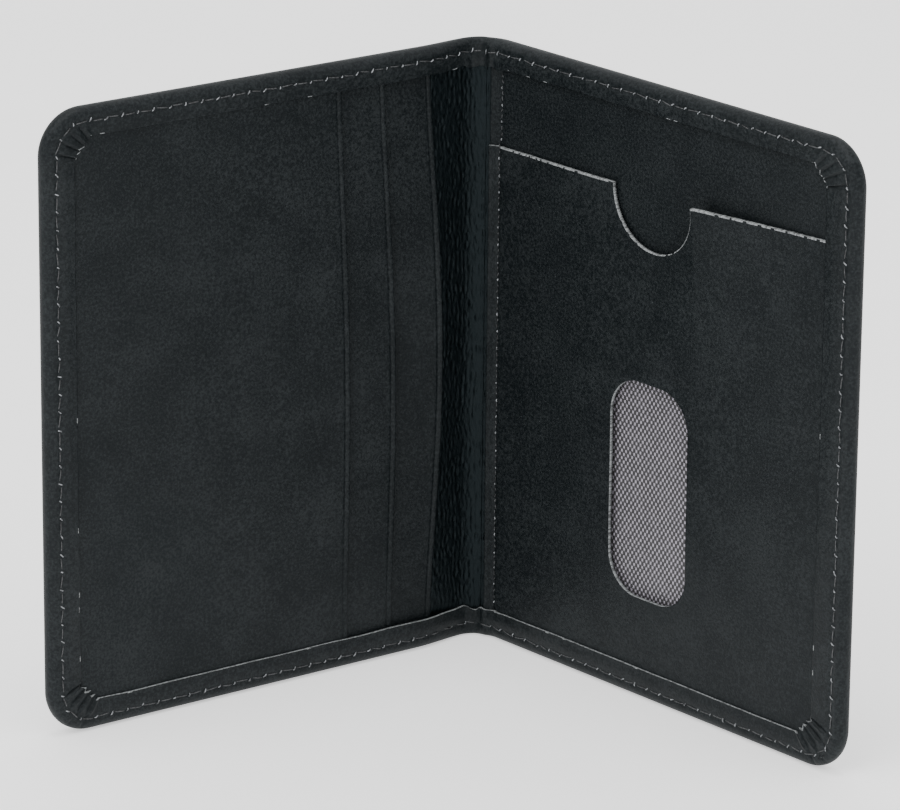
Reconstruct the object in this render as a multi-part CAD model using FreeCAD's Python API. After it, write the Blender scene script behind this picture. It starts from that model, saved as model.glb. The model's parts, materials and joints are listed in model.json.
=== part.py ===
"""Two-leaf card wallet standing open on its lower edges.

Every piece is laid out as if the wallet lay open and flat, then folded into place.
In the flat layout x runs along the leaves, away from a fold line (positive on the right leaf,
negative on the left), depth n runs inwards from the outer face of the cover along -Y, and
z runs up the height. The right leaf stays in the XZ plane; the spine and the left leaf are
turned about the two upright fold lines. All lengths are in millimetres.
"""
import FreeCAD, Part
import math
import os

V = FreeCAD.Vector

# Overall size of a leaf
HEIGHT = 96.0            # height of the cover
LEAF = 77.4              # fold line to outer edge
CORNER = 7.0             # rounded outer corners, in plan
SPINE = 3.9              # distance between the two fold lines
OPENING = 95.7           # angle between the inner faces as it stands, degrees

# Layers, as depths from the outer face of the cover
LEATHER = 0.8            # cover leather
BASE = 1.2               # cover and lining, whose inner face carries the fold lines
HEM = 0.5                # turned-over hem, skived thin
LEFT_THICK = 3.1
RIGHT_THICK = 2.75
SPINE_THICK = BASE + HEM

# Hem widths, from the outer edge
HEM_TOP = 4.3
HEM_BOTTOM = 4.7
LEFT_HEM_OUTER = 5.1
RIGHT_HEM_OUTER = 6.0
HEM_CORNER = 3.0         # radius of the hem's inner corners

# Clearances
FOLD_GAP = 0.03          # each side of a fold line, so that flat leaves don't overlap
FOLD_RELIEF = 0.65       # where everything above the lining starts on a leaf
SHEET_INSET = 0.9        # inner sheets stop this far inside the cover's edge
EDGE_ROUND = 0.9         # share of half the thickness taken by the rounded edges
OVER = 1.0               # how far a cutting shape reaches past what it cuts
HEM_CUT = 0.1            # the hem's mouth is cut this far below its underside

# Boards and linings
WING = 8.0               # gutter lining reaches this far under each leaf
BOARD_START = 8.2
BOARD_INSET = 1.6
FABRIC = 0.1
BACKING_START = 8.2

# Card pockets, distances from the fold line
FRONT_MOUTH = 25.3
POCKET_STEP = 8.8        # each pocket's mouth is this much nearer the fold
STRIP_WIDTH = 16.0       # leather lip of the two rear pockets
POCKET_LEATHER = 0.4
MOUTH_ROUND = 0.45       # share of a folded mouth's thickness taken by its rounded edges
REAR_LEVEL = 1.25
MIDDLE_LEVEL = 1.70
FRONT_LEVEL = 2.15
REAR_BOTTOM = 64.0       # where each rear pocket is sewn shut
MIDDLE_BOTTOM = 68.5
FABRIC_MARGIN = 1.5      # fabric beyond that seam

# ID pocket
LIP_HEIGHT = 80.2        # top edge of the pocket's front
ID_LEVEL = 1.75
ID_LEATHER = 0.45
BAND_GAP = 0.05          # between the band and the pocket's front
BAND_LEVEL = 1.3
BAND_FOOT = 60.0         # lower edge of the leather band behind the lip
LINING_TOP = 59.9
NOTCH_X = 36.3
NOTCH_R = 9.1
WINDOW_X = 35.4
WINDOW_Z = 33.8
WINDOW_WIDTH = 17.2
WINDOW_HEIGHT = 34.7
WINDOW_CORNER = 6.0

# Stitches
STITCH_INSET = 2.0       # stitch line from the outer edge
STITCH_PITCH = 2.75
STITCH_LENGTH = 2.2
THREAD = 0.35
THREAD_RISE = 0.1        # needle thread stands this far out of the hem
GROOVE_WIDTH = 0.65
HEM_GROOVE = 0.15
COVER_GROOVE = 0.25      # the bobbin thread lies wholly inside its groove
COVER_THREAD = 0.2
ID_SEAM_X = 1.6          # seam along the spine side of the ID panels
ID_SEAM_RISE = 0.2
POCKET_SEAM_RISE = 0.2   # hidden seams that close the rear pockets

BEND = (180.0 - OPENING) / 2.0


def block(x0, x1, z0, z1, n0, n1):
    """Plain rectangular sheet or block from depth n0 to n1."""
    low = V(min(x0, x1), -n1, min(z0, z1))
    return Part.makeBox(abs(x1 - x0), n1 - n0, abs(z1 - z0), low)


def rounded_sheet(x0, x1, z0, z1, n0, n1, radius, round_start=False):
    """Sheet from depth n0 to n1 with the corners at x1 rounded (and at x0 if asked)."""
    sheet = block(x0, x1, z0, z1, n0, n1)
    ends = [x0, x1] if round_start else [x1]
    corners = [e for e in sheet.Edges if e.BoundBox.YLength > 1e-6
               and min(abs(e.BoundBox.XMin - x) for x in ends) < 1e-6]
    return sheet.makeFillet(radius, corners)


def round_outer_edges(shape, x_fold, thick):
    """Rounds the edges that lie in the two faces of a cover, except the ones along the fold."""
    radius = EDGE_ROUND * thick / 2.0
    chosen = []
    for edge in shape.Edges:
        box = edge.BoundBox
        in_face = box.YLength < 1e-6 and (abs(box.YMin) < 1e-6 or abs(box.YMin + thick) < 1e-6)
        along_fold = box.XLength < 1e-6 and min(abs(box.XMin - x) for x in x_fold) < 1e-6
        if in_face and not along_fold:
            chosen.append(edge)
    return shape.makeFillet(radius, chosen)


def stitch(x, z, angle, n0, n1):
    """One stitch: a short bar of thread centred on (x, z), turned by angle in the leaf's plane."""
    bar = Part.makeBox(STITCH_LENGTH, n1 - n0, THREAD, V(-STITCH_LENGTH / 2.0, -n1, -THREAD / 2.0))
    bar.rotate(V(0, 0, 0), V(0, 1, 0), -math.degrees(angle))
    bar.translate(V(x, 0, z))
    return bar


def stitch_points(side):
    """Middle and direction of every perimeter stitch of a leaf, along the inset outline."""
    radius = CORNER - STITCH_INSET
    run = LEAF - CORNER - FOLD_RELIEF
    rise = HEIGHT - 2.0 * CORNER
    quarter = math.pi / 2.0 * radius
    total = 2.0 * run + 2.0 * quarter + rise
    count = int(total / STITCH_PITCH)
    pitch = total / count
    points = []
    for i in range(count):
        s = (i + 0.5) * pitch
        if s < run:
            x, z, angle = FOLD_RELIEF + s, STITCH_INSET, 0.0
        elif s < run + quarter:
            angle = (s - run) / radius
            x = LEAF - CORNER + radius * math.sin(angle)
            z = CORNER - radius * math.cos(angle)
        elif s < run + quarter + rise:
            x, z, angle = LEAF - STITCH_INSET, CORNER + s - run - quarter, math.pi / 2.0
        elif s < run + 2.0 * quarter + rise:
            angle = math.pi / 2.0 + (s - run - quarter - rise) / radius
            x = LEAF - CORNER + radius * math.sin(angle)
            z = HEIGHT - CORNER - radius * math.cos(angle)
        else:
            x, z, angle = FOLD_RELIEF + total - s, HEIGHT - STITCH_INSET, math.pi
        points.append((side * x, z, side * angle))
    return points


def leaf_seam(side, n0, n1):
    """All perimeter stitches of one leaf on one of its faces."""
    return Part.makeCompound([stitch(x, z, a, n0, n1) for x, z, a in stitch_points(side)])


def groove(side, n0, n1):
    """Shallow channel that follows the stitch line of a leaf."""
    outer = STITCH_INSET - GROOVE_WIDTH / 2.0
    inner = STITCH_INSET + GROOVE_WIDTH / 2.0
    wide = rounded_sheet(-side * OVER, side * (LEAF - outer), outer, HEIGHT - outer, n0, n1,
                         CORNER - outer)
    narrow = rounded_sheet(-2.0 * side * OVER, side * (LEAF - inner), inner, HEIGHT - inner,
                           n0 - OVER, n1 + OVER, CORNER - inner)
    return wide.cut(narrow)


def leaf_cover(side, thick, hem_outer):
    """Cover leather of one leaf: flat panel, rounded turned edges and the hem over the inside."""
    hem_face = thick - HEM
    body = rounded_sheet(side * FOLD_GAP, side * LEAF, 0, HEIGHT, 0, thick, CORNER)
    body = round_outer_edges(body, [side * FOLD_GAP], thick)
    cavity = rounded_sheet(-side * OVER, side * (LEAF - LEATHER), LEATHER, HEIGHT - LEATHER,
                           LEATHER, hem_face, CORNER - LEATHER)
    mouth = rounded_sheet(-side * OVER, side * (LEAF - hem_outer), HEM_BOTTOM, HEIGHT - HEM_TOP,
                          hem_face - HEM_CUT, thick + OVER, HEM_CORNER)
    relief = block(-side * OVER, side * FOLD_RELIEF, -OVER, HEIGHT + OVER, BASE, thick + OVER)
    body = body.cut(cavity).cut(mouth).cut(relief)
    body = body.cut(groove(side, thick - HEM_GROOVE, thick + OVER))
    return body.cut(groove(side, -OVER, COVER_GROOVE))


def make_spine_cover():
    """Cover leather round the spine, with its top and bottom turned in as hems."""
    x0, x1 = -SPINE + FOLD_GAP, -FOLD_GAP
    body = round_outer_edges(block(x0, x1, 0, HEIGHT, 0, SPINE_THICK), [x0, x1], SPINE_THICK)
    over0, over1 = x0 - OVER, x1 + OVER
    cavity = block(over0, over1, LEATHER, HEIGHT - LEATHER, LEATHER, BASE)
    mouth = block(over0, over1, HEM_BOTTOM, HEIGHT - HEM_TOP, BASE - HEM_CUT, SPINE_THICK + OVER)
    body = body.cut(cavity).cut(mouth)
    for z in (STITCH_INSET, HEIGHT - STITCH_INSET):
        z0, z1 = z - GROOVE_WIDTH / 2.0, z + GROOVE_WIDTH / 2.0
        body = body.cut(block(over0, over1, z0, z1, SPINE_THICK - HEM_GROOVE, SPINE_THICK + OVER))
        body = body.cut(block(over0, over1, z0, z1, -OVER, COVER_GROOVE))
    return body


def spine_seam(n0, n1):
    """The one stitch that crosses the spine in each of its two ends."""
    ends = (STITCH_INSET, HEIGHT - STITCH_INSET)
    return Part.makeCompound([stitch(-SPINE / 2.0, z, 0.0, n0, n1) for z in ends])


def inner_sheet(side, x0, n0, n1):
    """Sheet that fills a leaf's cavity from x0 outwards, its corners following the cover's."""
    return rounded_sheet(side * x0, side * (LEAF - SHEET_INSET), SHEET_INSET,
                         HEIGHT - SHEET_INSET, n0, n1, CORNER - SHEET_INSET)


def lining_wing(side):
    """Gutter lining between the cover and the panels of a leaf."""
    return block(side * FOLD_GAP, side * WING, SHEET_INSET, HEIGHT - SHEET_INSET, LEATHER, BASE)


def board(side, thick):
    """Thin stiffening board on the cover's inner face."""
    radius = CORNER - BOARD_INSET
    return rounded_sheet(side * BOARD_START, side * (LEAF - BOARD_INSET), BOARD_INSET,
                         HEIGHT - BOARD_INSET, LEATHER, thick, radius)


def pocket_strip(mouth, level):
    """Leather lip of a rear card pocket; its mouth edge is rounded as a folded edge."""
    z0, z1 = SHEET_INSET, HEIGHT - SHEET_INSET
    strip = block(-mouth, -mouth - STRIP_WIDTH, z0, z1, level, level + POCKET_LEATHER)
    return round_mouth(strip, -mouth, POCKET_LEATHER)


def round_mouth(shape, x, thick):
    """Rounds the two long edges at a pocket's mouth."""
    edges = [e for e in shape.Edges if e.BoundBox.XLength < 1e-6 and e.BoundBox.YLength < 1e-6
             and abs(e.BoundBox.XMin - x) < 1e-6]
    return shape.makeFillet(MOUTH_ROUND * thick, edges)


def pocket_fabric(mouth, level, bottom):
    """Nylon body of a rear card pocket, from the hidden edge of its lip to past its bottom."""
    x0 = mouth + STRIP_WIDTH
    x1 = bottom + FABRIC_MARGIN
    return block(-x0, -x1, SHEET_INSET, HEIGHT - SHEET_INSET, level, level + FABRIC)


def bottom_seam(x, level):
    """Straight row of stitches that closes the bottom of a rear card pocket."""
    length = HEIGHT - HEM_TOP - HEM_BOTTOM
    count = int(length / STITCH_PITCH)
    z_first = HEM_BOTTOM + (length - (count - 1) * STITCH_PITCH) / 2.0
    n0 = level + FABRIC
    n1 = n0 + POCKET_SEAM_RISE
    return Part.makeCompound([stitch(-x, z_first + i * STITCH_PITCH, math.pi / 2.0, n0, n1)
                              for i in range(count)])


def make_front_panel():
    """Front card pocket, which runs under the hem on three sides."""
    thick = LEFT_THICK - HEM - FRONT_LEVEL
    panel = inner_sheet(-1, FRONT_MOUTH, FRONT_LEVEL, FRONT_LEVEL + thick)
    return round_mouth(panel, -FRONT_MOUTH, thick)


def make_id_panel():
    """Front of the ID pocket, with its thumb notch in the lip and its thumb window."""
    n1 = ID_LEVEL + ID_LEATHER
    panel = rounded_sheet(FOLD_RELIEF, LEAF - SHEET_INSET, SHEET_INSET, LIP_HEIGHT + CORNER,
                          ID_LEVEL, n1, CORNER - SHEET_INSET)
    panel = panel.cut(block(-OVER, LEAF + OVER, LIP_HEIGHT, HEIGHT, 0, n1 + OVER))
    deep = ID_LEATHER + 2.0 * OVER
    notch = Part.makeCylinder(NOTCH_R, deep, V(NOTCH_X, -n1 - OVER, LIP_HEIGHT), V(0, 1, 0))
    window = rounded_sheet(WINDOW_X - WINDOW_WIDTH / 2.0, WINDOW_X + WINDOW_WIDTH / 2.0,
                           WINDOW_Z - WINDOW_HEIGHT / 2.0, WINDOW_Z + WINDOW_HEIGHT / 2.0,
                           ID_LEVEL - OVER, n1 + OVER, WINDOW_CORNER, round_start=True)
    return panel.cut(notch).cut(window)


def make_id_band():
    """Leather band behind the lip of the ID pocket, up to the top hem."""
    return inner_sheet(1, FOLD_RELIEF, BAND_LEVEL, ID_LEVEL - BAND_GAP).cut(
        block(-OVER, LEAF + OVER, -OVER, BAND_FOOT, 0, RIGHT_THICK))


def make_id_lining():
    """Grey nylon behind the thumb window, from the bottom edge up to the leather band."""
    return inner_sheet(1, FOLD_RELIEF, BASE, BASE + FABRIC).cut(
        block(-OVER, LEAF + OVER, LINING_TOP, HEIGHT + OVER, 0, RIGHT_THICK))


def make_id_edge_seam():
    """Stitches down the spine side of the ID panels: on the pocket front, then on the band."""
    z0, z1 = HEM_BOTTOM, HEIGHT - HEM_TOP
    count = int((z1 - z0) / STITCH_PITCH)
    bars = []
    for i in range(count):
        z = z0 + (i + 0.5) * (z1 - z0) / count
        on_front = z + STITCH_LENGTH / 2.0 < LIP_HEIGHT
        face = ID_LEVEL + ID_LEATHER if on_front else ID_LEVEL - BAND_GAP
        if abs(z - LIP_HEIGHT) > STITCH_LENGTH / 2.0:
            bars.append(stitch(ID_SEAM_X, z, math.pi / 2.0, face, face + ID_SEAM_RISE))
    return Part.makeCompound(bars)


def right_leaf():
    """The pieces of the right leaf, in the flat layout."""
    thick = RIGHT_THICK
    return {
        "right_cover": leaf_cover(1, thick, RIGHT_HEM_OUTER),
        "right_board": board(1, BASE),
        "right_lining_wing": lining_wing(1),
        "id_pocket_lining": make_id_lining(),
        "id_top_band": make_id_band(),
        "id_pocket_panel": make_id_panel(),
        "id_edge_seam": make_id_edge_seam(),
        "right_hem_seam": leaf_seam(1, thick - HEM_GROOVE, thick + THREAD_RISE),
        "right_cover_seam": leaf_seam(1, COVER_GROOVE - COVER_THREAD, COVER_GROOVE),
    }


def spine():
    """The pieces round the spine, in the flat layout."""
    x0, x1 = -SPINE + FOLD_GAP, -FOLD_GAP
    return {
        "spine_cover": make_spine_cover(),
        "spine_lining": block(x0, x1, SHEET_INSET, HEIGHT - SHEET_INSET, LEATHER, BASE),
        "spine_hem_seam": spine_seam(SPINE_THICK - HEM_GROOVE, SPINE_THICK + THREAD_RISE),
        "spine_cover_seam": spine_seam(COVER_GROOVE - COVER_THREAD, COVER_GROOVE),
    }


def left_leaf():
    """The pieces of the left leaf, in the flat layout with its fold line at x = 0."""
    thick = LEFT_THICK
    middle_mouth = FRONT_MOUTH - POCKET_STEP
    rear_mouth = middle_mouth - POCKET_STEP
    backing = inner_sheet(-1, BACKING_START, BASE - FABRIC, BASE)
    return {
        "left_cover": leaf_cover(-1, thick, LEFT_HEM_OUTER),
        "left_board": board(-1, BASE - FABRIC),
        "left_lining_wing": lining_wing(-1),
        "left_backing_fabric": backing,
        "rear_pocket_strip": pocket_strip(rear_mouth, REAR_LEVEL),
        "rear_pocket_fabric": pocket_fabric(rear_mouth, REAR_LEVEL, REAR_BOTTOM),
        "rear_pocket_seam": bottom_seam(REAR_BOTTOM, REAR_LEVEL),
        "middle_pocket_strip": pocket_strip(middle_mouth, MIDDLE_LEVEL),
        "middle_pocket_fabric": pocket_fabric(middle_mouth, MIDDLE_LEVEL, MIDDLE_BOTTOM),
        "middle_pocket_seam": bottom_seam(MIDDLE_BOTTOM, MIDDLE_LEVEL),
        "front_pocket_panel": make_front_panel(),
        "left_hem_seam": leaf_seam(-1, thick - HEM_GROOVE, thick + THREAD_RISE),
        "left_cover_seam": leaf_seam(-1, COVER_GROOVE - COVER_THREAD, COVER_GROOVE),
    }


def folded():
    """Every piece folded about the fold lines, with the right fold line on the Z axis."""
    up = V(0, 0, 1)
    left_fold = FreeCAD.Rotation(up, BEND).multVec(V(-SPINE, 0, 0))
    pieces = {}
    for bend, place, group in ((0.0, V(0, 0, 0), right_leaf()), (BEND, V(0, 0, 0), spine()),
                               (2.0 * BEND, left_fold, left_leaf())):
        for name, shape in group.items():
            shape.translate(V(0, BASE, 0))
            shape.rotate(V(0, 0, 0), up, bend)
            shape.translate(place)
            pieces[name] = shape
    return pieces, left_fold


def main():
    os.makedirs("parts", exist_ok=True)
    pieces, left_fold = folded()
    box = Part.makeCompound(list(pieces.values())).optimalBoundingBox()
    centre = V((box.XMin + box.XMax) / 2.0, (box.YMin + box.YMax) / 2.0, 0.0)
    for name, shape in pieces.items():
        shape.translate(centre.negative())
        shape.exportStep("parts/" + name + ".step")
        print(name, len(shape.Solids), "solids", shape.isValid(), round(shape.Volume, 2), "mm3")
    right_fold = centre.negative()
    print("right fold line at", right_fold.x, right_fold.y)
    print("left fold line at", left_fold.x - centre.x, left_fold.y - centre.y)
    print("size", box.XLength, box.YLength, box.ZLength)


main()
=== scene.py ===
"""A two-leaf leather card wallet that stands open, built as pieces of leather, cloth and thread.

Every piece is drawn as if the wallet lay open and flat: s runs along the leaves (positive on the
right leaf, zero at its fold line), n runs inwards from the outer face of the cover, and z runs up.
fold_points bends that flat layout round the spine, the way the joints of the frame bend it.
Flat sizes are in millimetres, and meshes are in metres.
"""
import json
import math

import bmesh
import bpy
import numpy as np
from bpy.props import FloatProperty, FloatVectorProperty, IntProperty, PointerProperty
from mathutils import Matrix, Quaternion, Vector


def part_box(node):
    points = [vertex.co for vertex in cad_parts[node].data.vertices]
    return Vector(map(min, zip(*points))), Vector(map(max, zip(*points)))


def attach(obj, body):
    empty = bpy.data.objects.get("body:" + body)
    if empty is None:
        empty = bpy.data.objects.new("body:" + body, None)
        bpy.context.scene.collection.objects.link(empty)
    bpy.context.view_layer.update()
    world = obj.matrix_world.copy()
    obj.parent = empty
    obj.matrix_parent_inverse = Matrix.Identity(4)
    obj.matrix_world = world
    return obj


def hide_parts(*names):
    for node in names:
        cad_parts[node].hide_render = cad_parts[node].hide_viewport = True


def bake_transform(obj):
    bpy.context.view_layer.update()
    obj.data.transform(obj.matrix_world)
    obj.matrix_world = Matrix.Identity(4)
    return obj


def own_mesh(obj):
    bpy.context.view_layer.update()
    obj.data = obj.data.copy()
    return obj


bl_info = {
    "name": "Leather card wallet",
    "version": (1, 0, 0),
    "blender": (4, 5, 0),
    "location": "3D View > Sidebar > Wallet",
    "description": "Builds a two-leaf card wallet in leather, cloth and thread",
    "category": "Add Mesh",
}

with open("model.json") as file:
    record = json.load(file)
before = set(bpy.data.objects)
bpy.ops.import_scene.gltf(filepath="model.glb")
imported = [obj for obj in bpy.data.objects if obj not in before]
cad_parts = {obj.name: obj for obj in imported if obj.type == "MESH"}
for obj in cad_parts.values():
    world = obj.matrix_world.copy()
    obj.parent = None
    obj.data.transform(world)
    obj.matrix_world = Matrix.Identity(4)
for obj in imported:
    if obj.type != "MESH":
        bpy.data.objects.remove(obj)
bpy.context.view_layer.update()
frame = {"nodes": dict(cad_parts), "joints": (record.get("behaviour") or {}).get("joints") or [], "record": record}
MM = 0.001

# ---- places read from the frame, in millimetres -------------------------------------------------
JOINTS = {joint["name"]: joint for joint in frame["joints"]}
MOUNTS = {mount["name"]: mount for mount in frame["record"]["mounts"]}
RIGHT_FOLD = np.array(JOINTS["right_fold"]["pos_m"][:2]) / MM
LEFT_FOLD = np.array(JOINTS["left_fold"]["pos_m"][:2]) / MM
SPINE = float(np.hypot(*(LEFT_FOLD - RIGHT_FOLD)))
LEFT_OUT = MOUNTS["left_cover_face"]["axis"]
TURN = math.atan2(-LEFT_OUT[0], LEFT_OUT[1])
BEND = TURN / 2.0
COVER_LOW, COVER_HIGH = (np.array(corner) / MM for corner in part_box("right_cover"))
HEIGHT = float(COVER_HIGH[2])
LEAF = float(COVER_HIGH[0] - RIGHT_FOLD[0])
BASE = float(COVER_HIGH[1] - RIGHT_FOLD[1])
RIGHT_THICK = float(COVER_HIGH[1] - COVER_LOW[1])
LEFT_THICK = RIGHT_THICK + 0.35
MID = -SPINE / 2.0
LEATHER = 0.8            # cover leather
HEM = 0.5                # where it is skived thin and turned over
SPINE_THICK = BASE + HEM

# ---- how the flat layout bends ------------------------------------------------------------------
ZONE = 1.95              # the bend reaches this far onto either leaf
ZONE_END = 1.45          # each joint's share of it ends this far onto the spine
ROUND = (ZONE + SPINE / (2.0 * math.cos(BEND))) / math.tan(BEND)


def smooth(t):
    """Smoothstep: three t squared less two t cubed, held between 0 and 1."""
    t = np.clip(t, 0.0, 1.0)
    return t * t * (3.0 - 2.0 * t)


def turned(x, y, angle):
    """The point (x, y) turned by angle about the origin."""
    c, s = np.cos(angle), np.sin(angle)
    return x * c - y * s, x * s + y * c


def fold_points(s, n, z):
    """Flat layout to the row frame, in metres.

    The strip from ZONE right of one fold line to ZONE left of the other becomes part of a circle
    that is tangent to both leaves. Its radius is ROUND at the inner face of the cover, and the
    turn grows evenly along it. The leaves go straight on from either end.
    """
    s, n, z = (np.asarray(a, float) for a in np.broadcast_arrays(s, n, z))
    turn = TURN * np.clip((ZONE - s) / (2.0 * ZONE + SPINE), 0.0, 1.0)
    beyond = s - np.clip(s, -SPINE - ZONE, ZONE)
    x, y = turned(beyond, ROUND + BASE - n, turn)
    x, y = x + ZONE + RIGHT_FOLD[0], y - ROUND + RIGHT_FOLD[1]
    return np.stack([x, y, z], axis=-1) * MM


def hash_wave(s, z, seed, count=5, long=9.0):
    """Smooth random field: a mean of sine waves with seeded directions, lengths and phases."""
    rng = np.random.default_rng(seed)
    total = np.zeros(np.broadcast(s, z).shape)
    for _ in range(count):
        way = rng.uniform(0.0, math.pi)
        size = long * rng.uniform(0.45, 1.3)
        phase = rng.uniform(0.0, 2.0 * math.pi)
        along = s * math.cos(way) + z * math.sin(way)
        total = total + np.sin(along * 2.0 * math.pi / size + phase)
    return total / count


# ---- meshes -------------------------------------------------------------------------------------
def grid_faces(index):
    """Quads between the neighbours of a two-dimensional array of vertex numbers."""
    a, b = index[:-1, :-1], index[1:, :-1]
    c, d = index[1:, 1:], index[:-1, 1:]
    return np.stack([a, b, c, d], axis=-1).reshape(-1, 4)


def build(name, flat, faces, materials, face_material=None, out_n=None):
    """A mesh object from flat-layout points and quads or triangles.

    The flat place of every point is kept in the attribute hide_place, which the materials read.
    Where out_n is given, the faces are turned so that the first one looks along that depth.
    """
    flat = np.asarray(flat, float).reshape(-1, 3)
    mesh = bpy.data.meshes.new(name)
    mesh.from_pydata(fold_points(flat[:, 0], flat[:, 1], flat[:, 2]).tolist(), [], faces)
    place = mesh.attributes.new("hide_place", "FLOAT_VECTOR", "POINT")
    place.data.foreach_set("vector", (flat * MM).astype(np.float32).ravel())
    for material in materials:
        mesh.materials.append(material)
    mesh.polygons.foreach_set("use_smooth", np.ones(len(mesh.polygons), bool))
    if face_material is not None:
        mesh.polygons.foreach_set("material_index", np.asarray(face_material, np.int32))
    mesh.update()
    if out_n is not None:
        corners = flat[list(mesh.polygons[0].vertices)].mean(axis=0)
        a, b = fold_points(*corners), fold_points(corners[0], corners[1] + out_n, corners[2])
        if mesh.polygons[0].normal.dot(Vector(b - a)) < 0.0:
            mesh.flip_normals()
    obj = bpy.data.objects.new(name, mesh)
    bpy.context.scene.collection.objects.link(obj)
    return obj


def thicken(obj, thickness, rim=0):
    """Gives a sheet its thickness inwards, with the cut edge in its own material."""
    solid = obj.modifiers.new("thickness", "SOLIDIFY")
    solid.thickness = thickness * MM
    solid.offset = -1.0
    solid.material_offset_rim = rim
    return obj


def closed_sheet(name, top, bottom, materials, rim_material=0):
    """Closed shell from two grids of flat-layout points with the same shape.

    top looks inwards and bottom faces the cover; four strips join their borders. Points that
    coincide, as where a folded edge closes on itself, are merged.
    """
    rows, cols = top.shape[:2]
    index = np.arange(rows * cols).reshape(rows, cols)
    low = index + rows * cols
    faces = [grid_faces(index), grid_faces(low)[:, ::-1]]
    borders = ((index[0], low[0]), (low[-1], index[-1]),
               (low[:, 0], index[:, 0]), (index[:, -1], low[:, -1]))
    for first, second in borders:
        faces.append(grid_faces(np.stack([first, second])))
    kinds = np.concatenate([np.full(len(part), rim_material if k >= 2 else 0)
                            for k, part in enumerate(faces)])
    flat = np.concatenate([top.reshape(-1, 3), bottom.reshape(-1, 3)])
    obj = build(name, flat, np.concatenate(faces).tolist(), materials, kinds)
    tidy_shell(obj)
    return obj


def tidy_shell(obj):
    """Merges coincident points, drops faces with no area and turns every face outwards."""
    work = bmesh.new()
    work.from_mesh(obj.data)
    bmesh.ops.remove_doubles(work, verts=work.verts, dist=2e-6)
    bmesh.ops.dissolve_degenerate(work, edges=work.edges, dist=1e-7)
    bmesh.ops.recalc_face_normals(work, faces=work.faces)
    work.to_mesh(obj.data)
    work.free()
    obj.data.update()


def graded(*spans):
    """Positions along a line from (start, end, count) spans, without repeating their ends."""
    parts = [np.linspace(a, b, k, endpoint=False) for a, b, k in spans]
    return np.concatenate(parts + [[spans[-1][1]]])


# ---- node maths ---------------------------------------------------------------------------------
class Signal:
    """A socket that numbers and other sockets can be added to, multiplied by and compared with."""

    def __init__(self, tree, socket):
        self.tree = tree
        self.socket = socket

    def math(self, operation, *values):
        return self.tree.node("ShaderNodeMath", {"operation": operation}, [self, *values])

    def __add__(self, other):
        return self.math("ADD", other)

    def __radd__(self, other):
        return self.math("ADD", other)

    def __sub__(self, other):
        return self.math("SUBTRACT", other)

    def __rsub__(self, other):
        return self.tree.node("ShaderNodeMath", {"operation": "SUBTRACT"}, [other, self])

    def __mul__(self, other):
        return self.math("MULTIPLY", other)

    def __rmul__(self, other):
        return self.math("MULTIPLY", other)

    def fit(self, low, high, to_low=0.0, to_high=1.0):
        """This signal mapped smoothly from low..high to to_low..to_high."""
        return self.tree.node("ShaderNodeMapRange", {"interpolation_type": "SMOOTHSTEP"},
                              [self, low, high, to_low, to_high])


class Material:
    """A Principled material and the nodes behind it."""

    def __init__(self, name, colour, roughness, **constants):
        self.data = bpy.data.materials.new(name)
        self.data.use_nodes = True
        self.nodes = self.data.node_tree.nodes
        self.links = self.data.node_tree.links
        self.shader = self.nodes["Principled BSDF"]
        self.shader.inputs["Base Color"].default_value = (*colour, 1.0)
        self.shader.inputs["Roughness"].default_value = roughness
        for socket, value in constants.items():
            self.shader.inputs[socket.replace("_", " ")].default_value = value

    def node(self, kind, settings, inputs, output=0):
        """Adds a node, sets it up, then fills its sockets with values or links."""
        made = self.nodes.new(kind)
        for key, value in settings.items():
            setattr(made, key, value)
        pairs = inputs.items() if isinstance(inputs, dict) else enumerate(inputs)
        for key, value in pairs:
            if isinstance(value, Signal):
                self.links.new(value.socket, made.inputs[key])
            else:
                made.inputs[key].default_value = value
        return Signal(self, made.outputs[output])

    def place(self):
        """The flat place of the surface, in metres."""
        return self.node("ShaderNodeAttribute", {"attribute_name": "hide_place"}, {}, "Vector")

    def scaled(self, vector, x, y, z):
        """The vector, with each of its parts multiplied."""
        return self.node("ShaderNodeVectorMath", {"operation": "MULTIPLY"}, [vector, (x, y, z)])

    def noise(self, vector, size_mm, detail=2.0, rough=0.5):
        """Noise whose lumps are about size_mm across."""
        return self.node("ShaderNodeTexNoise", {}, {
            "Vector": vector, "Scale": 1.0 / (size_mm * MM), "Detail": detail, "Roughness": rough})

    def cells(self, vector, size_mm):
        """Distance to the middle of the nearest of many random cells about size_mm across."""
        return self.node("ShaderNodeTexVoronoi", {}, {
            "Vector": vector, "Scale": 1.0 / (size_mm * MM)})

    def colour_mix(self, factor, first, second):
        """Colour between two others by a factor."""
        mixed = self.nodes.new("ShaderNodeMix")
        mixed.data_type = "RGBA"
        self.links.new(factor.socket, mixed.inputs["Factor"])
        for key, value in (("A", first), ("B", second)):
            socket = [i for i in mixed.inputs if i.name == key and i.type == "RGBA"][0]
            if isinstance(value, Signal):
                self.links.new(value.socket, socket)
            else:
                socket.default_value = (*value, 1.0)
        out = [o for o in mixed.outputs if o.type == "RGBA"][0]
        return Signal(self, out)

    def bump(self, height, depth_mm, normal=None):
        """Normal of a surface raised by height, over another normal if one is given."""
        inputs = {"Height": height, "Distance": depth_mm * MM, "Strength": 1.0}
        if normal is not None:
            inputs["Normal"] = normal
        return self.node("ShaderNodeBump", {}, inputs, "Normal")

    def feed(self, socket, signal):
        """Links a signal to one of the shader's sockets."""
        self.links.new(signal.socket, self.shader.inputs[socket])


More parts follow.
